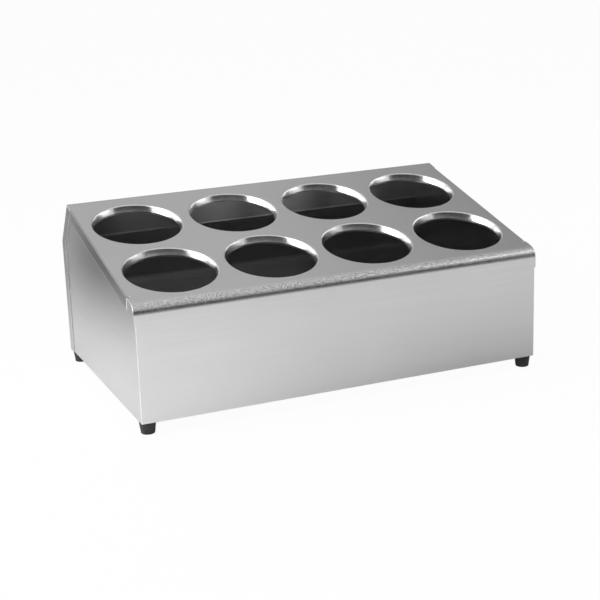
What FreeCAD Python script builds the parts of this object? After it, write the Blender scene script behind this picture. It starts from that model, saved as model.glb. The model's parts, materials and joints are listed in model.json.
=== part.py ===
"""Countertop cutlery dispenser: a folded stainless box with a sloping deck of round holes.

Each hole takes a hanging flatware cylinder. Millimetres, +Z up, +X to the right seen from
the front, the front face looks along -Y. The origin lies under the middle of the box, on
the surface that the four rubber feet stand on.
"""

import FreeCAD, Part
import math
import os

from FreeCAD import Placement, Rotation, Vector

# ---- driving dimensions -------------------------------------------------------------

# body, outside
overall_width = 490.0      # across the side lips
overall_depth = 300.0      # front face to back wall
front_height = 130.5       # bottom edge to the corner where front and deck would meet
rear_height = 191.5        # bottom edge to the deck's rear edge
back_wall_height = 140.0   # bottom edge to the bend where the back starts to lean
back_lean = 38.0           # how far the deck's rear edge stands in front of the back wall

# sheet metal
sheet = 1.0                # thickness of every folded panel
seam = 0.1                 # gap between two sheets that lap or butt
bend_radius = 2.0          # outside radius of a lip's fold
fold_radius = 3.0          # outside radius of the fold from the back to its lip under the deck
nose_radius = 12.0         # outside radius of the large fold from deck to front
back_bend_radius = 5.0     # outside radius of the shallow fold across the back

# deck lips and front shoulder
lip_depth = 15.0           # side lips of the deck and of the back, lapping the side panels
lip_setback = 24.0         # from the front face to where a deck lip starts
relief_width = 1.8         # slot cut beside the end of a lip so that it can fold
shoulder_height = 21.5     # full-width top of the front, below the corner
weld_round = 0.8           # ground round on the welded front corners

# holes
columns = 4
rows = 2
column_pitch = 120.0
row_pitch = 122.0          # along the deck's slope
first_row = 72.5           # along the slope, front corner to the first row's centres
hole_radius = 50.5         # clear radius inside the straight land of a drawn collar
collar_depth = 9.0         # deck's top surface to the collar's lower lip
collar_land = 2.0          # straight height above the lip, which guides a cylinder
collar_flare = 2.7         # how far the wall above the land leans out on its way to the deck
rim_bevel = 0.8            # how far the coined rim reaches out past the wall
rim_drop = 0.5             # how far under the deck's top surface the coined rim starts

# base tray
tray_wall = 12.0           # turned-up edges of the base tray
tray_notch = 5.0           # open corner between two turned-up edges

# feet and their fasteners
foot_height = 14.0
foot_top_radius = 9.5
foot_bottom_radius = 7.7
foot_inset = 10.5          # from the body's side, front and back faces to a foot's axis
foot_edge = 0.8            # broken lower edge
foot_recess_radius = 4.8
foot_recess_depth = 9.0
screw_radius = 2.0
screw_length = 11.0        # under the head
screw_head_radius = 3.6
screw_head_height = 2.6
screw_slot_width = 1.0
screw_slot_depth = 1.2
hole_clearance = 0.25      # radial, round a screw
nut_flats = 7.0
nut_height = 3.2

# ---- worked out from them -----------------------------------------------------------

half_width = overall_width / 2
half_depth = overall_depth / 2
bottom = foot_height
deck_run = overall_depth - back_lean
slope = math.atan2(rear_height - front_height, deck_run)
deck_length = math.hypot(deck_run, rear_height - front_height)
rear_angle = slope + math.atan2(rear_height - back_wall_height, back_lean)
rim_radius = hole_radius + collar_flare + rim_bevel

# outside corners of the body in the Y-Z plane, from the front's foot to the back's foot
front_foot = (-half_depth, bottom)
front_corner = (-half_depth, bottom + front_height)
rear_corner = (half_depth - back_lean, bottom + rear_height)
back_corner = (half_depth, bottom + back_wall_height)
back_foot = (half_depth, bottom)

layer = sheet + seam       # from one sheet's outside to the outside of the next one in


# ---- outlines in a plane ------------------------------------------------------------

def crossing(first, second):
    """Where two endless lines cross, each given by two points."""
    (ax, ay), (bx, by) = first
    (cx, cy), (dx, dy) = second
    ux, uy, vx, vy = bx - ax, by - ay, dx - cx, dy - cy
    along = ((cx - ax) * vy - (cy - ay) * vx) / (ux * vy - uy * vx)
    return (ax + ux * along, ay + uy * along)


def inset_path(points, distance):
    """The open path moved sideways, to its right-hand side, with its corners kept sharp."""
    lines = []
    for (ax, ay), (bx, by) in zip(points, points[1:]):
        length = math.hypot(bx - ax, by - ay)
        right_x, right_y = (by - ay) / length * distance, (ax - bx) / length * distance
        lines.append(((ax + right_x, ay + right_y), (bx + right_x, by + right_y)))
    corners = [crossing(one, two) for one, two in zip(lines, lines[1:])]
    return [lines[0][0]] + corners + [lines[-1][1]]


def rounded_path(points, radii, place):
    """Edges along an open path whose inner corners are arcs. place turns (a, b) into a Vector."""
    edges, start = [], points[0]
    for before, corner, after, radius in zip(points, points[1:], points[2:], radii):
        if radius == 0:
            edges.append(Part.LineSegment(place(*start), place(*corner)).toShape())
            start = corner
            continue
        to_before = math.dist(corner, before)
        to_after = math.dist(corner, after)
        p = [(b - c) / to_before for b, c in zip(before, corner)]
        q = [(a - c) / to_after for a, c in zip(after, corner)]
        half_angle = math.acos(max(-1.0, min(1.0, p[0] * q[0] + p[1] * q[1]))) / 2
        back = radius / math.tan(half_angle)
        arc_in = (corner[0] + p[0] * back, corner[1] + p[1] * back)
        arc_out = (corner[0] + q[0] * back, corner[1] + q[1] * back)
        to_centre = radius / math.sin(half_angle) - radius
        middle = [(a + b) / 2 - c for a, b, c in zip(p, q, (0, 0))]
        size = math.hypot(*middle)
        crown = (corner[0] + middle[0] / size * to_centre, corner[1] + middle[1] / size * to_centre)
        edges.append(Part.LineSegment(place(*start), place(*arc_in)).toShape())
        edges.append(Part.Arc(place(*arc_in), place(*crown), place(*arc_out)).toShape())
        start = arc_out
    edges.append(Part.LineSegment(place(*start), place(*points[-1])).toShape())
    return edges


def strip_face(points, radii, thickness, place):
    """The section of a bent sheet: its outside follows the points, and it lies to their right."""
    inner = inset_path(points, thickness)
    outside = rounded_path(points, radii, place)
    inside = rounded_path(inner, [r - thickness for r in radii], place)
    ends = [
        Part.LineSegment(place(*points[0]), place(*inner[0])).toShape(),
        Part.LineSegment(place(*points[-1]), place(*inner[-1])).toShape(),
    ]
    return Part.Face(Part.Wire(Part.__sortEdges__(outside + inside + ends)))


def closed_face(points, radii, place):
    """A filled outline whose listed inner corners are rounded; its first and last are sharp."""
    edges = rounded_path(points, radii, place)
    edges.append(Part.LineSegment(place(*points[-1]), place(*points[0])).toShape())
    return Part.Face(Part.Wire(edges))


def at_x(x):
    """Places an outline drawn in Y and Z at that X."""
    return lambda y, z: Vector(x, y, z)


def on_path(edge, points):
    """Whether a straight edge lies along the path, whatever its X."""
    ends = [(v.Y, v.Z) for v in edge.Vertexes]
    for start, end in zip(points, points[1:]):
        span = math.dist(start, end)
        strays = [
            (end[0] - start[0]) * (z - start[1]) - (end[1] - start[1]) * (y - start[0])
            for y, z in ends
        ]
        if all(abs(s) / span < seam / 2 for s in strays):
            return True
    return False


def across(face, width):
    return face.extrude(Vector(width, 0, 0))


def onto_deck(shape):
    """Carries a shape drawn on a level deck, front corner at the origin, to the sloping one."""
    tilt = Rotation(Vector(1, 0, 0), math.degrees(slope))
    placed = shape.copy()
    placed.Placement = Placement(Vector(0, *front_corner), tilt).multiply(shape.Placement)
    return placed


def mirrored(shape):
    """The same piece for the other side."""
    return shape.mirror(Vector(0, 0, 0), Vector(1, 0, 0))


def hole_centres():
    """Hole centres on the level deck, front row first, left to right."""
    for row in range(rows):
        for column in range(columns):
            x = (column - (columns - 1) / 2) * column_pitch
            yield x, first_row + row * row_pitch


def foot_centres():
    """Foot axes seen from above, one near each corner."""
    for x in (-1, 1):
        for y in (-1, 1):
            yield x * (half_width - foot_inset), y * (half_depth - foot_inset)


# ---- deck and front -----------------------------------------------------------------

def collar():
    """One drawn hole edge on the level deck, centred at the origin: land, wall and coined rim."""
    lip = (hole_radius, -collar_depth)
    land_top = (hole_radius, collar_land - collar_depth)
    mouth = (hole_radius + collar_flare, 0)
    rim = (rim_radius, 0)
    rim_start = crossing([land_top, mouth], [(0, -rim_drop), (1, -rim_drop)])
    outside = [lip, land_top, rim_start, rim]
    inside = inset_path([lip, land_top, mouth, rim], sheet)
    section = Part.makePolygon([Vector(r, 0, z) for r, z in outside + inside[::-1] + [lip]])
    return Part.Face(section).revolve(Vector(0, 0, 0), Vector(0, 0, 1), 360)


def deck_lip():
    """The left side lip on the level deck: a fold down with its relief slot, front to back."""
    def place(x, z):
        return Vector(x, lip_setback, z)

    edge = -half_width
    section = [(edge, -lip_depth), (edge, 0), (edge + 2 * bend_radius, 0)]
    lip = strip_face(section, [bend_radius], sheet, place)
    return lip.extrude(Vector(0, deck_length - lip_setback, 0))


def on_front_corner(edge):
    """Whether an edge is an outside corner of the narrow front, where the sides are welded on."""
    box = edge.BoundBox
    upright = box.XLength < seam and box.YLength < seam and box.ZLength > shoulder_height
    at_face = abs(box.YMin + half_depth) < seam
    at_side = abs(abs(box.XMin) - half_width + layer) < seam / 2
    return upright and at_face and at_side


def deck_shell():
    """Front, nose and deck in one folded sheet, with drawn holes and side lips."""
    path = [front_foot, front_corner, rear_corner]
    shell = across(strip_face(path, [nose_radius], sheet, at_x(-half_width)), overall_width)

    # below the shoulder the front is narrower, flush with the side panels
    narrow = Part.makeBox(layer, 2 * nose_radius, front_height - shoulder_height)
    narrow.translate(Vector(-half_width, -half_depth - nose_radius, bottom))
    shell = shell.cut(narrow).cut(mirrored(narrow))
    welded = [e for e in shell.Edges if on_front_corner(e)]
    shell = shell.makeFillet(weld_round, welded)

    # between its relief slots, a lip takes the place of the deck's edge
    back_lips = back_band(0, lip_depth + relief_width, -bend_radius)
    lip = onto_deck(deck_lip()).cut(across(back_lips, overall_width))
    lip_end = deck_length - (lip_depth + relief_width) / math.sin(rear_angle)
    slot_length = lip_end - lip_setback + 2 * relief_width
    strip = Part.makeBox(2 * bend_radius, slot_length, 3 * sheet)
    strip.translate(Vector(-half_width, lip_setback - relief_width, -2 * sheet))
    strip = onto_deck(strip)
    shell = shell.cut([strip, mirrored(strip)])

    openings, collars = [], []
    for x, along in hole_centres():
        drill = Part.makeCylinder(rim_radius, 4 * sheet, Vector(x, along, -2 * sheet))
        openings.append(onto_deck(drill))
        ring = collar()
        ring.translate(Vector(x, along, 0))
        collars.append(onto_deck(ring))
    shell = shell.cut(openings)
    shell = shell.fuse([lip, mirrored(lip)] + collars)
    return shell.removeSplitter()


# ---- the other panels ---------------------------------------------------------------

def body_outline(distance):
    """Corners of the body's side view, that far inside the outside faces of front, deck and back."""
    path = [front_foot, front_corner, rear_corner, back_corner, back_foot]
    return inset_path(path, distance)


def side_panel():
    """The left side: a flat plate behind the lips, its front edge welded to the front."""
    radii = [nose_radius - layer, bend_radius, back_bend_radius]
    face = closed_face(body_outline(layer), radii, at_x(-half_width + layer))
    return across(face, sheet)


def back_band(outer_depth, inner_depth, under, radii=(0, 0)):
    """The region between two depths in from the back's outside faces, drawn at the left side.

    It reaches up to that far under the deck's top surface. The radii round its outside at
    the bend across the back and at the deck.
    """
    deck_line = inset_path([front_corner, rear_corner], under)
    back = [rear_corner, back_corner, back_foot]
    outer, inner = inset_path(back, outer_depth), inset_path(back, inner_depth)
    outer[0] = crossing(outer[:2], deck_line)
    inner[0] = crossing(inner[:2], deck_line)
    corners = outer[::-1] + inner
    return closed_face(corners, list(radii) + [0, 0], at_x(-half_width))


def round_back(face, depth):
    """The region carried across the box, that deep inside it, with its rear side edges rounded."""
    width = overall_width - 2 * depth
    block = across(face.translated(Vector(depth, 0, 0)), width)
    rear_faces = inset_path([rear_corner, back_corner, back_foot], depth)
    side_edges = [e for e in block.Edges if e.BoundBox.XLength < seam and on_path(e, rear_faces)]
    return block.makeFillet(bend_radius - depth, side_edges)


def back_panel():
    """Back wall and leaning top in one sheet, with lips at the sides and under the deck."""
    outside = (back_bend_radius, fold_radius)
    inside = (back_bend_radius - sheet, fold_radius - sheet)
    body = round_back(back_band(0, lip_depth, layer, outside), 0)
    hollow = round_back(back_band(sheet, 2 * lip_depth, layer + sheet, inside), sheet)
    panel = body.cut(hollow)
    # the lip under the deck stops short of the side panels
    notch_width = 2 * layer + relief_width - sheet
    notch = back_band(sheet + fold_radius, 2 * lip_depth, 0)
    notch = notch.translated(Vector(sheet, 0, 0)).extrude(Vector(notch_width, 0, 0))
    return panel.cut([notch, mirrored(notch)])


def base_tray():
    """The floor: a shallow tray with turned-up edges, welded inside the walls."""
    length = overall_width - 2 * (2 * layer)
    depth = overall_depth - 2 * layer
    outer = Part.makeBox(length, depth, tray_wall)
    low = [e for e in outer.Edges if abs(e.BoundBox.ZMax) < seam]
    outer = outer.makeFillet(bend_radius, low)
    inner = Part.makeBox(length - 2 * sheet, depth - 2 * sheet, tray_wall)
    inner.translate(Vector(sheet, sheet, sheet))
    low = [e for e in inner.Edges if abs(e.BoundBox.ZMax - sheet) < seam]
    inner = inner.makeFillet(bend_radius - sheet, low)
    tray = outer.cut(inner)
    notch = Part.makeBox(tray_notch, tray_notch, tray_wall)
    for x in (0, length - tray_notch):
        for y in (0, depth - tray_notch):
            tray = tray.cut(notch.translated(Vector(x, y, 0)))
    tray.translate(Vector(-length / 2, -depth / 2, bottom))
    for x, y in foot_centres():
        drill = Part.makeCylinder(screw_radius + hole_clearance, 4 * sheet, Vector(x, y, bottom - sheet))
        tray = tray.cut(drill)
    return tray


# ---- feet and fasteners -------------------------------------------------------------

def foot():
    """A tapered rubber foot on the origin's axis, recessed from below for its screw."""
    body = Part.makeCone(foot_bottom_radius, foot_top_radius, foot_height)
    low = [e for e in body.Edges if e.BoundBox.ZMax < seam]
    body = body.makeChamfer(foot_edge, low)
    recess = Part.makeCylinder(foot_recess_radius, foot_recess_depth)
    hole = Part.makeCylinder(screw_radius + hole_clearance, foot_height)
    return body.cut(recess).cut(hole)


def screw(seat):
    """A slotted screw pointing up, its head's seat at that height."""
    head_end = seat - screw_head_height
    head = Part.makeCylinder(screw_head_radius, screw_head_height, Vector(0, 0, head_end))
    slot = Part.makeBox(3 * screw_head_radius, screw_slot_width, screw_slot_depth)
    slot.translate(Vector(-1.5 * screw_head_radius, -screw_slot_width / 2, head_end))
    shank = Part.makeCylinder(screw_radius, screw_length, Vector(0, 0, seat))
    return head.cut(slot).fuse(shank).removeSplitter()


def nut(base):
    corner = nut_flats / math.sqrt(3)
    points = [
        Vector(corner * math.cos(math.radians(60 * i)), corner * math.sin(math.radians(60 * i)), base)
        for i in range(7)
    ]
    block = Part.Face(Part.makePolygon(points)).extrude(Vector(0, 0, nut_height))
    bore = Part.makeCylinder(screw_radius + hole_clearance / 5, nut_height, Vector(0, 0, base))
    return block.cut(bore)


def under_each_foot(piece):
    """One copy of the piece at every foot, as a group of separate solids."""
    return Part.makeCompound([piece.translated(Vector(x, y, 0)) for x, y in foot_centres()])


# ---- write every piece --------------------------------------------------------------

def pieces():
    left = side_panel()
    return {
        "deck_shell": deck_shell(),
        "side_panel_left": left,
        "side_panel_right": mirrored(left),
        "back_panel": back_panel(),
        "base_tray": base_tray(),
        "rubber_feet": under_each_foot(foot()),
        "foot_screws": under_each_foot(screw(foot_recess_depth)),
        "foot_nuts": under_each_foot(nut(bottom + sheet)),
    }


def main():
    os.makedirs("parts", exist_ok=True)
    for name, shape in pieces().items():
        shape.exportStep("parts/" + name + ".step")
        box = shape.BoundBox
        print(
            name, len(shape.Solids), "solids", shape.isValid(), round(shape.Volume),
            [round(v, 2) for v in (box.XMin, box.XMax, box.YMin, box.YMax, box.ZMin, box.ZMax)],
        )


main()
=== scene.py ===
"""Looks of the cutlery dispenser: satin steel, polished hole collars, rubber feet, soft studio."""

import json
import math

import bpy
from mathutils import Matrix, Vector


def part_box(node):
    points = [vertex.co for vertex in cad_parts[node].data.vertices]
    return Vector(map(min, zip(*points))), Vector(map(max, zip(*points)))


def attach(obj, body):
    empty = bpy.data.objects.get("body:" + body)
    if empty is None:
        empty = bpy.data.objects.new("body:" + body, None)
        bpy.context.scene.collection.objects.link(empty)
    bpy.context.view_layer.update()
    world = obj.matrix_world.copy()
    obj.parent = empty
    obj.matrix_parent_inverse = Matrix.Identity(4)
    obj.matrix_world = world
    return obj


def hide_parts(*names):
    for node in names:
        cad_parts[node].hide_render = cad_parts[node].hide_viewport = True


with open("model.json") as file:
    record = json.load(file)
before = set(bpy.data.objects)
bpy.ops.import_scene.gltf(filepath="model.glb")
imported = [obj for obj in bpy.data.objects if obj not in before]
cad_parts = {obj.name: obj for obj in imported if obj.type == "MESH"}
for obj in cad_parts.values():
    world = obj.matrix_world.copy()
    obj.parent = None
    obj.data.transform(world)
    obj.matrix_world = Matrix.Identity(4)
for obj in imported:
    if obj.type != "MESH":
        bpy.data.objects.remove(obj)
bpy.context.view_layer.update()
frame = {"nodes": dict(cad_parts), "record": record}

MM = 0.001

# ---- camera -----------------------------------------------------------------------------

CAMERA_AZIMUTH = -22.63    # degrees, seen from the left of the front
CAMERA_ELEVATION = 16.08
CAMERA_ROLL = -1.95
CAMERA_DISTANCE = 1720.8 * MM
CAMERA_TARGET = Vector((6.51, 0.0, 79.1)) * MM
CAMERA_LENS = 84.96        # on the default 36 mm sensor
CAMERA_NEAR, CAMERA_FAR = 0.05, 60.0

# ---- hole collars, in mm on the level deck round a hole's axis --------------------------

COLLAR_DEPTH = 9.0
COLLAR_LAND = 2.0
LAND_RADIUS = 50.5
MOUTH_RADIUS = 53.2        # where the wall would meet the deck with a sharp edge
RIM_ROUND = 1.8            # radius between the deck and the wall
LAND_ROUND = 0.8           # radius between the wall and the land
LIP_ROUND = 0.3            # radius round the lower lip
RIM_PROUD = 0.04           # the polished skin stands this far above the deck
WALL_PROUD = 0.14          # and this far inside the hole's own wall
COLLAR_SEGMENTS = 160

# ---- feet, in mm ------------------------------------------------------------------------

FOOT_HEIGHT = 14.0
FOOT_TOP_RADIUS = 9.5
FOOT_BOTTOM_RADIUS = 7.7
FOOT_EDGE = 0.8            # radius round the lower edge
FOOT_TOP_EDGE = 0.5        # radius round the top
RECESS_EDGE = 0.4          # radius at the mouth of the recess
RECESS_RADIUS = 4.8
RECESS_DEPTH = 9.0
SCREW_HOLE_RADIUS = 2.25
FOOT_INSET = 10.5          # from the body's outside faces to a foot's axis
FOOT_SEGMENTS = 64

# ---- finishes; a grey is a darker and a lighter level that the grain mixes --------------

SHEET_GREY = (0.70, 0.74)
LIP_PAINTED_SHADE_GREY = (0.52, 0.56)    # painted shade on the side lips, which face along the grain
EDGE_PAINTED_HIGHLIGHT_GREY = (0.90, 0.96)   # painted highlight on cut edges and ground welds, partly the brighter ground metal
FOLD_PAINTED_SHADE_GREY = (0.22, 0.26)   # painted shade in the folds of the side lips
NOSE_GREY = (0.40, 0.84)   # stretched grains of the large bend
LEAN_PAINTED_LIGHT_GREY = (0.40, 0.98)   # painted light on the inside of the leaning strip, at its ends and in its middle
BAND_PAINTED_LIGHT_GREY = (0.82, 0.86)   # painted light band inside
LINE_PAINTED_HIGHLIGHT_GREY = (0.97, 1.0)    # painted highlight line along the band's top
COLLAR_GREY = (0.70, 0.88)
ZINC_GREY = (0.55, 0.72)
RUBBER_GREY = (0.018, 0.032)

INSIDE_SPREAD = 0.02       # how far the inner walls' grey strays from its middle
EDGE_WIDTH = 1.2 * MM      # how far the shine of a sheet's edge reaches
DULLING = 0.25             # added to the roughness of folds and of ground welds
UNDER_LEAN = (0.0, -0.8, -0.6)    # where the inside of the leaning strip faces

# ---- the painted light band inside, in metres -------------------------------------------

BAND_TOP = (0.091, 0.097)         # heights between which the band ends
LINE_FOOT = (0.083, 0.091)        # heights between which the line starts
BAND_RIGHT = (0.06, 0.10)         # where, from left to right, the band grows faint
LEAN_LEFT = (-0.145, -0.02)       # where the painted light on the leaning strip grows
LEAN_RIGHT = (0.12, 0.20)         # and fades again

# ---- studio, in metres ------------------------------------------------------------------

FLOOR_REACH = 14.0
FLOOR_GREY = 0.8
FLOOR_SEEN, FLOOR_MIRRORED = 0.96, 0.15    # share of plain white in the floor, seen and mirrored
ROOM_LIGHT = 0.50
ROOM_GREYS = ((0.12, 1.0), (0.36, 0.26), (0.62, 0.56), (0.77, 0.60), (0.92, 0.76))
SHADE_CARD_LIFT = 2 * MM


# ---- small helpers ----------------------------------------------------------------------

def node(tree, kind, **settings):
    """Adds a shader node and sets its properties."""
    made = tree.nodes.new("ShaderNode" + kind)
    for key, value in settings.items():
        setattr(made, key, value)
    return made


def link(tree, source, target):
    tree.links.new(source, target)


def set_inputs(shader_node, **values):
    """Sets inputs to constants; an input's name is written with _ for a space."""
    for key, value in values.items():
        shader_node.inputs[key.replace("_", " ")].default_value = value


def grey_colour(level):
    return (level, level, level, 1)


def new_material(name):
    material = bpy.data.materials.new(name)
    material.use_nodes = True
    shader = material.node_tree.nodes["Principled BSDF"]
    return material, material.node_tree, shader


def empty_material(name):
    material = bpy.data.materials.new(name)
    material.use_nodes = True
    material.node_tree.nodes.clear()
    return material, material.node_tree


def new_object(name, data):
    """An object in the scene."""
    thing = bpy.data.objects.new(name, data)
    bpy.context.scene.collection.objects.link(thing)
    return thing


def dress(thing, material):
    """Gives an object that one material."""
    thing.data.materials.clear()
    thing.data.materials.append(material)


def stretched_noise(tree, scale, detail, roughness):
    """Noise in the object's own coordinates, with a scale per metre along each axis."""
    place = node(tree, "TexCoord")
    mapping = node(tree, "Mapping")
    set_inputs(mapping, Scale=scale)
    noise = node(tree, "TexNoise")
    set_inputs(noise, Scale=1.0, Detail=detail, Roughness=roughness)
    link(tree, place.outputs["Object"], mapping.inputs["Vector"])
    link(tree, mapping.outputs["Vector"], noise.inputs["Vector"])
    return noise.outputs["Fac"]


def even_noise(tree, scale, detail, roughness):
    """Noise of one scale along all axes."""
    return stretched_noise(tree, (scale, scale, scale), detail, roughness)


def ranged(tree, value, low, high, start=0.3, end=0.7):
    """A value between start and end carried over to the range from low to high."""
    remap = node(tree, "MapRange")
    set_inputs(remap, From_Min=start, From_Max=end, To_Min=low, To_Max=high)
    link(tree, value, remap.inputs["Value"])
    return remap.outputs["Result"]


def parts_of(tree, vector):
    """The X, Y and Z outputs of a vector."""
    axes = node(tree, "SeparateXYZ")
    link(tree, vector, axes.inputs["Vector"])
    return [axes.outputs[axis] for axis in "XYZ"]


def times(tree, *values):
    """The product of several values."""
    product = values[0]
    for value in values[1:]:
        multiply = node(tree, "Math", operation="MULTIPLY")
        link(tree, product, multiply.inputs[0])
        link(tree, value, multiply.inputs[1])
        product = multiply.outputs["Value"]
    return product


def plus(tree, *values):
    """The sum of several values."""
    total = values[0]
    for value in values[1:]:
        add = node(tree, "Math", operation="ADD")
        link(tree, total, add.inputs[0])
        link(tree, value, add.inputs[1])
        total = add.outputs["Value"]
    return total


def alignment(tree, normal, direction):
    """The cosine between a normal and a fixed direction or another normal."""
    dot = node(tree, "VectorMath", operation="DOT_PRODUCT")
    link(tree, normal, dot.inputs[0])
    if isinstance(direction, Vector):
        dot.inputs[1].default_value = direction.normalized()
    else:
        link(tree, direction, dot.inputs[1])
    return dot.outputs["Value"]


def grey_mix(tree, factor, dark, light):
    """A grey between two levels."""
    mix = node(tree, "Mix", data_type="RGBA")
    set_inputs(mix, A=grey_colour(dark), B=grey_colour(light))
    link(tree, factor, mix.inputs["Factor"])
    return mix.outputs["Result"]


def mixed(tree, factor, first, second):
    """A colour between two others."""
    mix = node(tree, "Mix", data_type="RGBA")
    link(tree, factor, mix.inputs["Factor"])
    link(tree, first, mix.inputs["A"])
    link(tree, second, mix.inputs["B"])
    return mix.outputs["Result"]


def bumped(tree, height, strength, distance):
    """A bump node over that height; its distance is in mm."""
    bump = node(tree, "Bump")
    set_inputs(bump, Strength=strength, Distance=distance * MM)
    link(tree, height, bump.inputs["Height"])
    return bump


def softened_edges(tree, radius, samples):
    """The normal with sharp edges rounded off."""
    edge = node(tree, "Bevel", samples=samples)
    set_inputs(edge, Radius=radius)
    return edge.outputs["Normal"]


# ---- materials --------------------------------------------------------------------------

def inner_grey(tree, tone, normal, place, inside, painted_light_band):
    """The faces inside the box: walls darkened as painted shade, and the leaning strip, with painted
    light in its middle.
    """
    along, _, height = parts_of(tree, place)
    # a darker grey on the inside walls: painted shade
    wall = grey_mix(tree, tone, inside - INSIDE_SPREAD, inside + INSIDE_SPREAD)
    if painted_light_band:
        # a painted band of light, with a painted highlight line along its top, runs across the wall
        # below the holes and fades to the right
        band = ranged(tree, height, 1.0, 0.0, *BAND_TOP)
        line = times(tree, band, ranged(tree, height, 0.0, 1.0, *LINE_FOOT))
        band_share = ranged(tree, along, 0.95, 0.08, *BAND_RIGHT)
        line_share = ranged(tree, band_share, 0.35, 1.0, 0.08, 0.85)
        wall = mixed(tree, times(tree, band, band_share), wall, grey_mix(tree, tone, *BAND_PAINTED_LIGHT_GREY))
        wall = mixed(tree, times(tree, line, line_share), wall, grey_mix(tree, tone, *LINE_PAINTED_HIGHLIGHT_GREY))
    # the leaning strip inside gets painted light, brightest in its middle and fading to its ends
    under = ranged(tree, alignment(tree, normal, Vector(UNDER_LEAN)), 0.0, 1.0, 0.85, 0.95)
    middle = times(
        tree,
        ranged(tree, along, 0.0, 1.0, *LEAN_LEFT),
        ranged(tree, along, 1.0, 0.25, *LEAN_RIGHT),
    )
    return mixed(tree, under, wall, grey_mix(tree, middle, *LEAN_PAINTED_LIGHT_GREY))


def brushed_steel(name, grain, outward, inside, nose=None, painted_light_band=False):
    """Sheet brushed along the grain outside and darkened inside as painted shade, with painted
    highlights on its edges and painted shade in its duller folds.

    Outward is a direction that all its outer faces look towards, and inside the grey of the
    other faces, which can carry a painted light band. Nose is the direction at the middle of a
    large bend, where the stretched surface has turned grainy.
    """
    material, tree, shader = new_material(name)
    fine = stretched_noise(tree, [8.0 if g else 1100.0 for g in grain], 4.0, 0.6)
    streak = stretched_noise(tree, [2.5 if g else 160.0 for g in grain], 2.0, 0.5)
    cloud = even_noise(tree, 9.0, 2.0, 0.5)
    tone = plus(tree, ranged(tree, streak, 0.0, 0.4), ranged(tree, cloud, 0.0, 0.6))
    geometry = node(tree, "NewGeometry")
    normal = geometry.outputs["Normal"]
    softened = softened_edges(tree, EDGE_WIDTH, 6)

    # only the folds of the side lips face sideways and up, and only welded corners sideways and out
    sideways, frontal, upward = [times(tree, part, part) for part in parts_of(tree, normal)]
    folded = ranged(tree, times(tree, sideways, upward), 0.0, 1.0, 0.01, 0.12)
    welded = ranged(tree, times(tree, sideways, frontal), 0.0, 1.0, 0.01, 0.12)
    sharp = ranged(tree, alignment(tree, normal, softened), 1.0, 0.0, 0.96, 0.998)
    outside = ranged(tree, alignment(tree, normal, Vector(outward)), 0.0, 1.0, -0.3, -0.1)

    # faces that do not look outward get the inside greys, darkened as painted shade
    hidden = inner_grey(tree, tone, normal, geometry.outputs["Position"], inside, painted_light_band)
    colour = mixed(tree, outside, hidden, grey_mix(tree, tone, *SHEET_GREY))
    # the side lips get a darker grey: painted shade
    if not outward[0]:
        lips = ranged(tree, sideways, 0.0, 1.0, 0.80, 0.98)
        colour = mixed(tree, lips, colour, grey_mix(tree, tone, *LIP_PAINTED_SHADE_GREY))
    # sharp edges and ground welds get a painted highlight, partly the brighter metal of the grinding
    colour = mixed(tree, plus(tree, sharp, welded), colour, grey_mix(tree, tone, *EDGE_PAINTED_HIGHLIGHT_GREY))
    # the folds of the side lips get a dark grey: painted shade
    colour = mixed(tree, folded, colour, grey_mix(tree, tone, *FOLD_PAINTED_SHADE_GREY))
    relief = fine
    if nose:
        peel = even_noise(tree, 700.0, 3.0, 0.6)
        bent = ranged(tree, alignment(tree, normal, Vector(nose)), 0.0, 1.0, 0.82, 0.95)
        speckled = grey_mix(tree, ranged(tree, peel, 0.0, 1.0, 0.38, 0.62), *NOSE_GREY)
        colour = mixed(tree, bent, colour, speckled)
        relief = plus(tree, fine, times(tree, ranged(tree, peel, 0.0, 40.0), bent))
    link(tree, colour, shader.inputs["Base Color"])
    dulled = [ranged(tree, mask, 0.0, DULLING, 0.0, 1.0) for mask in (folded, welded)]
    link(tree, plus(tree, ranged(tree, fine, 0.19, 0.25), *dulled), shader.inputs["Roughness"])

    bump = bumped(tree, relief, 1.0, 0.002)
    link(tree, softened, bump.inputs["Normal"])
    link(tree, bump.outputs["Normal"], shader.inputs["Normal"])

    # the shine spreads across the grain; a lip that faces along it has one too
    spread = node(tree, "VectorMath", operation="CROSS_PRODUCT")
    spread.inputs[1].default_value = Vector(grain) + Vector((0.01, 0.01, 0.0))
    unit = node(tree, "VectorMath", operation="NORMALIZE")
    link(tree, normal, spread.inputs[0])
    link(tree, spread.outputs["Vector"], unit.inputs[0])
    link(tree, unit.outputs["Vector"], shader.inputs["Tangent"])
    set_inputs(shader, Metallic=1.0, Anisotropic=0.6)
    return material


def polished_steel(name):
    """The drawn collars: brighter and smoother than the sheet, with faint marks of the draw."""
    material, tree, shader = new_material(name)
    cloud = stretched_noise(tree, (60.0, 60.0, 20.0), 3.0, 0.6)
    marks = stretched_noise(tree, (480.0, 480.0, 300.0), 2.0, 0.5)
    link(tree, grey_mix(tree, ranged(tree, marks, 0.0, 1.0), *COLLAR_GREY), shader.inputs["Base Color"])
    link(tree, ranged(tree, cloud, 0.18, 0.26), shader.inputs["Roughness"])
    link(tree, bumped(tree, marks, 1.0, 0.06).outputs["Normal"], shader.inputs["Normal"])
    set_inputs(shader, Metallic=1.0)
    return material


def black_rubber(name):
    """Moulded rubber with a fine matt skin."""
    material, tree, shader = new_material(name)
    skin = even_noise(tree, 1500.0, 4.0, 0.6)
    cloud = even_noise(tree, 200.0, 2.0, 0.5)
    link(tree, grey_mix(tree, ranged(tree, cloud, 0.0, 1.0), *RUBBER_GREY), shader.inputs["Base Color"])
    link(tree, ranged(tree, skin, 0.50, 0.70), shader.inputs["Roughness"])
    link(tree, bumped(tree, skin, 0.35, 0.05).outputs["Normal"], shader.inputs["Normal"])
    return material


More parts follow.
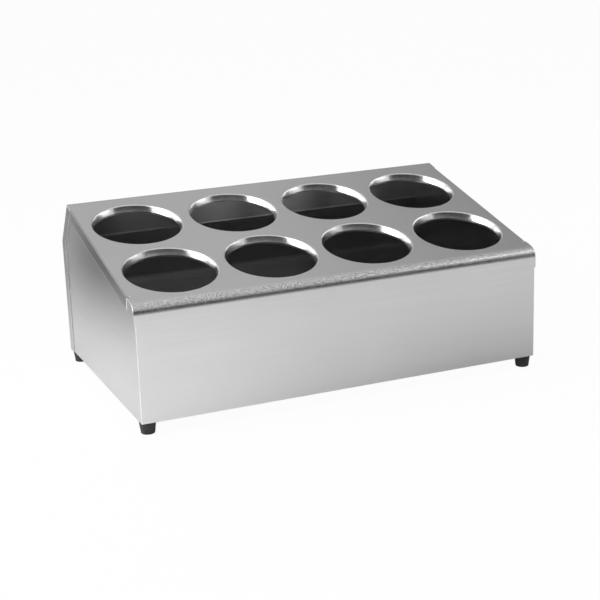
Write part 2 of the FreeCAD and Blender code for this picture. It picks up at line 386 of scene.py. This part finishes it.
def plated_steel(name):
    """Bright zinc on the screws and nuts."""
    material, tree, shader = new_material(name)
    cloud = even_noise(tree, 300.0, 3.0, 0.6)
    link(tree, grey_mix(tree, ranged(tree, cloud, 0.0, 1.0), *ZINC_GREY), shader.inputs["Base Color"])
    link(tree, ranged(tree, cloud, 0.22, 0.38), shader.inputs["Roughness"])
    link(tree, softened_edges(tree, 0.25 * MM, 4), shader.inputs["Normal"])
    set_inputs(shader, Metallic=1.0)
    return material


# ---- turned pieces ----------------------------------------------------------------------

def turned(profile, segments, places):
    """Vertices and faces of a closed profile of (radius, height) in mm turned round each place."""
    vertices, faces = [], []
    count = len(profile)
    for place in places:
        first = len(vertices)
        for step in range(segments):
            turn = 2 * math.pi * step / segments
            for radius, height in profile:
                spot = Vector((radius * math.cos(turn), radius * math.sin(turn), height)) * MM
                vertices.append(place @ spot)
        for step in range(segments):
            here, there = first + step * count, first + (step + 1) % segments * count
            for i in range(count):
                j = (i + 1) % count
                faces.append((here + i, there + i, there + j, here + j))
    return vertices, faces


def shown(name, vertices, faces, material, smooth_to=30.0):
    """A smooth-shaded object that rides on the body, creases kept where faces turn sharply."""
    mesh = bpy.data.meshes.new(name)
    mesh.from_pydata(vertices, [], faces)
    mesh.polygons.foreach_set("use_smooth", [True] * len(mesh.polygons))
    mesh.set_sharp_from_angle(angle=math.radians(smooth_to))
    mesh.materials.append(material)
    thing = new_object(name, mesh)
    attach(thing, "root")
    return thing


def rounded(before, corner, after, radius, steps):
    """Points of an arc that rounds the corner between its two neighbours."""
    corner = Vector(corner)
    to_before = (Vector(before) - corner).normalized()
    to_after = (Vector(after) - corner).normalized()
    half = to_before.angle(to_after) / 2
    centre = corner + (to_before + to_after).normalized() * radius / math.sin(half)
    start = corner + to_before * radius / math.tan(half) - centre
    end = corner + to_after * radius / math.tan(half) - centre
    sweep = start.angle_signed(end)
    points = []
    for step in range(steps + 1):
        turn = -sweep * step / steps
        cos, sin = math.cos(turn), math.sin(turn)
        offset = Vector((start.x * cos - start.y * sin, start.x * sin + start.y * cos))
        points.append(tuple(centre + offset))
    return points


def collar_profile():
    """The polished skin's section: over the rim, down the wall and the land, back inside the sheet."""
    deck_end = (MOUTH_RADIUS + 3.0, RIM_PROUD)
    mouth = (MOUTH_RADIUS - WALL_PROUD, RIM_PROUD)
    land_top = (LAND_RADIUS - WALL_PROUD, COLLAR_LAND - COLLAR_DEPTH)
    lip = (LAND_RADIUS - WALL_PROUD, -COLLAR_DEPTH - RIM_PROUD)
    hidden_lip = (LAND_RADIUS + 0.4, -COLLAR_DEPTH - RIM_PROUD)
    skin = [(MOUTH_RADIUS + 1.6, -0.3), (MOUTH_RADIUS + 1.5, 0.0)]
    skin += rounded(deck_end, mouth, land_top, RIM_ROUND, 8)
    skin += rounded(mouth, land_top, lip, LAND_ROUND, 3)
    skin += rounded(land_top, lip, hidden_lip, LIP_ROUND, 4)
    skin += [(LAND_RADIUS + 0.5, -COLLAR_DEPTH + 0.3)]
    skin += [(LAND_RADIUS + 0.5, COLLAR_LAND - COLLAR_DEPTH)]
    skin += [(MOUTH_RADIUS + 0.3, -0.9)]
    return skin


def hole_places():
    """Where each hole's axis meets the deck's top surface, from the mounts in the record."""
    places = []
    for mount in frame["record"]["mounts"]:
        if mount["kind"] == "bore":
            axis = Vector(mount["axis"])
            top = Vector(mount["pos_m"]) + axis * (COLLAR_DEPTH - COLLAR_LAND / 2) * MM
            turn = axis.to_track_quat("Z", "Y").to_matrix().to_4x4()
            places.append(Matrix.Translation(top) @ turn)
    return places


def foot_profile():
    """A tapered foot with rounded edges, a recess for the screw's head and a through hole."""
    top, foot = (FOOT_TOP_RADIUS, FOOT_HEIGHT), (FOOT_BOTTOM_RADIUS, 0.0)
    recess, recess_top = (RECESS_RADIUS, 0.0), (RECESS_RADIUS, RECESS_DEPTH)
    outline = [(SCREW_HOLE_RADIUS, FOOT_HEIGHT)]
    outline += rounded(outline[0], top, foot, FOOT_TOP_EDGE, 4)
    outline += rounded(top, foot, recess, FOOT_EDGE, 6)
    outline += rounded(foot, recess, recess_top, RECESS_EDGE, 4)
    outline += [recess_top, (SCREW_HOLE_RADIUS, RECESS_DEPTH)]
    return outline


def foot_places():
    """The four feet stand the same distance inside each face of the body."""
    (left, front, _), (right, _, _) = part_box("deck_shell")
    inset = FOOT_INSET * MM
    return [
        Matrix.Translation((x, y, 0))
        for x in (left + inset, right - inset)
        for y in (front + inset, -front - inset)
    ]


# ---- dress the dispenser ----------------------------------------------------------------

ALONG_X, ALONG_Y = (1, 0, 0), (0, 1, 0)

# inside is the darker grey of the inner faces: painted shade
PANELS = {
    "deck_shell": dict(
        grain=ALONG_X, outward=(0.0, -0.62, 0.78), inside=0.50, nose=(0.0, -0.78, 0.62)
    ),
    "back_panel": dict(grain=ALONG_X, outward=(0.0, 0.85, 0.50), inside=0.45, painted_light_band=True),
    "base_tray": dict(grain=ALONG_X, outward=(0.0, 0.0, -1.0), inside=0.42),
    "side_panel_left": dict(grain=ALONG_Y, outward=(-1.0, 0.0, 0.0), inside=0.45),
    "side_panel_right": dict(grain=ALONG_Y, outward=(1.0, 0.0, 0.0), inside=0.45),
}
for name, finish in PANELS.items():
    dress(frame["nodes"][name], brushed_steel("satin_" + name, **finish))

zinc = plated_steel("bright_zinc")
for name in ("foot_screws", "foot_nuts"):
    dress(frame["nodes"][name], zinc)

collar_steel = polished_steel("polished_collar_steel")
for number, place in enumerate(hole_places(), 1):
    vertices, faces = turned(collar_profile(), COLLAR_SEGMENTS, [place])
    shown("hole_collar_%d" % number, vertices, faces, collar_steel)

rubber = black_rubber("matt_black_rubber")
dress(frame["nodes"]["rubber_feet"], rubber)
vertices, faces = turned(foot_profile(), FOOT_SEGMENTS, foot_places())
feet = shown("moulded_feet", vertices, faces, rubber)
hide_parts("rubber_feet")


# ---- studio -----------------------------------------------------------------------------

def backdrop_rays(tree, camera, mirrored):
    """How much a ray that is seen, mirrored or through glass shows the backdrop's own white."""
    path = node(tree, "LightPath")
    total = None
    for kind, share in (("Camera", camera), ("Glossy", mirrored), ("Transmission", mirrored)):
        add = node(tree, "Math", operation="MULTIPLY_ADD", use_clamp=True)
        add.inputs[1].default_value = share
        add.inputs[2].default_value = 0.0
        link(tree, path.outputs["Is %s Ray" % kind], add.inputs[0])
        if total:
            link(tree, total, add.inputs[2])
        total = add.outputs["Value"]
    return total


def shown_to(tree, rays, usual, backdrop, output):
    """Gives the output its usual shader, and the backdrop's for that share of the rays."""
    seen = node(tree, "MixShader")
    link(tree, rays, seen.inputs["Fac"])
    link(tree, usual, seen.inputs[1])
    link(tree, backdrop, seen.inputs[2])
    link(tree, seen.outputs["Shader"], node(tree, output).inputs["Surface"])


def flat_quad(low, high, height):
    """The corners of a level rectangle between two (x, y) corners."""
    (left, front), (right, rear) = low, high
    return [(left, front, height), (right, front, height), (right, rear, height), (left, rear, height)]


def studio_floor():
    """A wide white floor that keeps a faint shadow of the object."""
    mesh = bpy.data.meshes.new("floor")
    corner = (FLOOR_REACH, FLOOR_REACH)
    mesh.from_pydata(flat_quad((-FLOOR_REACH, -FLOOR_REACH), corner, 0), [], [(0, 1, 2, 3)])
    material, tree = empty_material("white_floor")
    lit = node(tree, "BsdfDiffuse")
    set_inputs(lit, Color=grey_colour(FLOOR_GREY))
    white = node(tree, "Emission")
    rays = backdrop_rays(tree, FLOOR_SEEN, FLOOR_MIRRORED)
    shown_to(tree, rays, lit.outputs["BSDF"], white.outputs["Emission"], "OutputMaterial")
    mesh.materials.append(material)
    floor = new_object("floor", mesh)


def cloth(name, grey):
    """A material without any shine."""
    material, tree = empty_material(name)
    matt = node(tree, "BsdfDiffuse")
    set_inputs(matt, Color=grey_colour(grey))
    link(tree, matt.outputs["BSDF"], node(tree, "OutputMaterial").inputs["Surface"])
    return material


def studio_card(name, vertices, faces, grey):
    """A matt card seen only in reflections."""
    mesh = bpy.data.meshes.new(name)
    mesh.from_pydata(vertices, [], faces)
    mesh.materials.append(cloth(name + "_cloth", grey))
    card = new_object(name, mesh)
    card.visible_camera = False
    card.visible_diffuse = False
    card.visible_shadow = False
    return card


def curtain(name, foot_line, heights, grey):
    """A card that stands on the floor along a line of (x, y), its top sloping between two heights."""
    vertices = []
    last = len(foot_line) - 1
    for i, (x, y) in enumerate(foot_line):
        top = heights[0] + (heights[1] - heights[0]) * i / last
        vertices += [(x, y, 0.0), (x, y, top)]
    faces = [(2 * i, 2 * i + 2, 2 * i + 3, 2 * i + 1) for i in range(last)]
    studio_card(name, vertices, faces, grey)


def painted_shade_card(name, low, high, fades, pale, dark):
    """A card that lies on the floor between two corners and paints shade there that only reflections
    show.

    It is dark where every fade is over. A fade is a direction with the distances from the
    origin, along it, between which the card darkens.
    """
    card = studio_card(name, flat_quad(low, high, SHADE_CARD_LIFT), [(0, 1, 2, 3)], dark)
    tree = card.active_material.node_tree
    place = node(tree, "TexCoord").outputs["Object"]
    darkened = [
        ranged(tree, alignment(tree, place, Vector(direction)), 0.0, 1.0, start, end)
        for direction, start, end in fades
    ]
    shade = grey_mix(tree, times(tree, *darkened), pale, dark)
    link(tree, shade, tree.nodes["Diffuse BSDF"].inputs["Color"])


def arc_line(radius, start, end, count):
    """Points on the floor round the object, between two azimuths in degrees from the front."""
    turns = [math.radians(start + (end - start) * i / count) for i in range(count + 1)]
    return [(radius * math.sin(t), -radius * math.cos(t)) for t in turns]


def studio_world():
    """A room that is white low down and grey above, brighter overhead and dimmer at the right rear."""
    world = bpy.data.worlds.new("studio")
    bpy.context.scene.world = world
    world.use_nodes = True
    tree = world.node_tree
    tree.nodes.clear()
    towards_x, towards_y, towards_z = parts_of(tree, node(tree, "TexCoord").outputs["Generated"])

    wall = node(tree, "ValToRGB")
    stops = wall.color_ramp.elements
    for height, grey in ROOM_GREYS:
        stops.new(height).color = grey_colour(grey)
    stops.remove(stops[-1])
    stops.remove(stops[0])
    link(tree, towards_z, wall.inputs["Fac"])

    right = ranged(tree, towards_x, 0.0, 0.75, 0.34, 0.54)
    rear = ranged(tree, towards_y, 0.0, 0.55, -0.30, 0.50)
    shade = node(tree, "Mix", data_type="RGBA", blend_type="MULTIPLY")
    set_inputs(shade, B=grey_colour(0))
    link(tree, times(tree, right, rear), shade.inputs["Factor"])
    link(tree, wall.outputs["Color"], shade.inputs["A"])

    light = node(tree, "Background")
    set_inputs(light, Color=grey_colour(ROOM_LIGHT))
    room = node(tree, "Background")
    link(tree, shade.outputs["Result"], room.inputs["Color"])
    rays = backdrop_rays(tree, 1.0, 1.0)
    shown_to(tree, rays, light.outputs["Background"], room.outputs["Background"], "OutputWorld")


def softbox(name, place, aim, width, height, radiance):
    """A rectangular soft light of an even radiance that faces the aim point."""
    lamp = bpy.data.lights.new(name, "AREA")
    lamp.shape = "RECTANGLE"
    lamp.size, lamp.size_y = width, height
    lamp.energy = radiance * math.pi * width * height
    box = new_object(name, lamp)
    box.location = place
    box.rotation_euler = (Vector(aim) - Vector(place)).to_track_quat("-Z", "Y").to_euler()
    box.visible_camera = False


def studio_camera():
    """The camera looks at its target from its azimuth, elevation and distance, a little rolled."""
    azimuth, elevation = math.radians(CAMERA_AZIMUTH), math.radians(CAMERA_ELEVATION)
    back = Vector((
        math.sin(azimuth) * math.cos(elevation),
        -math.cos(azimuth) * math.cos(elevation),
        math.sin(elevation),
    ))
    data = bpy.data.cameras.new("camera")
    data.lens = CAMERA_LENS
    data.clip_start, data.clip_end = CAMERA_NEAR, CAMERA_FAR
    camera = new_object("camera", data)
    turn = (-back).to_track_quat("-Z", "Y").to_matrix().to_4x4()
    roll = Matrix.Rotation(math.radians(CAMERA_ROLL), 4, "Z")
    camera.matrix_world = Matrix.Translation(CAMERA_TARGET + back * CAMERA_DISTANCE) @ turn @ roll
    bpy.context.scene.camera = camera


studio_floor()

# name, line on the floor, heights of the top at its two ends, grey
curtain("front_curtain", arc_line(1.95, -71, 42, 36), (1.93, 0.70), 0.05)
curtain("low_curtain", arc_line(1.9, -71, 42, 36), (0.26, 0.26), 0.18)
curtain("right_curtain", arc_line(1.95, 42, 125, 24), (0.5, 0.5), 0.95)

# name, two corners, fades, the grey before them and after them
# a painted shadow of the object on the floor in front, darkening the lower right of the front in its
# reflection
painted_shade_card(
    "front_painted_shadow_card", (-0.35, -0.65), (0.75, -0.15),
    [((1, 0, 0), -0.15, 0.20), ((0, 1, 0), -0.52, -0.17)], 0.97, 0.60,
)
# painted shade on the floor at the left rear, darkening the upper part of the left side in its
# reflection
painted_shade_card(
    "left_painted_shade_card", (-2.2, -0.15), (-0.25, 1.6),
    [((-0.94, 0.33, 0), 0.355, 0.57), ((-0.971, -0.238, 0), 0.165, 0.235)], 0.77, 0.11,
)

studio_world()

# name, place, aim, width, height, radiance
softbox("left_softbox", (-1.95, 0.52, 0.60), (0, 0, 0.15), 2.2, 1.0, 1.5)
softbox("key_softbox", (-1.15, 0.95, 1.9), (0, 0, 0.1), 2.2, 2.0, 0.45)
softbox("fill_softbox", (-1.39, -0.33, 0.95), (0, -0.2, 0.0), 1.2, 1.3, 3.4)
softbox("right_softbox", (1.43, -0.85, 1.47), (0.2, -0.14, 0.14), 1.0, 0.5, 1.0)
softbox("far_right_softbox", (1.5, 0.25, 0.85), (0, 0, 0.15), 1.0, 0.7, 1.2)
softbox("low_right_softbox", (1.42, -0.48, 0.45), (0, 0, 0.18), 0.8, 0.30, 1.7)

studio_camera()

bpy.context.scene.view_settings.view_transform = "Standard"
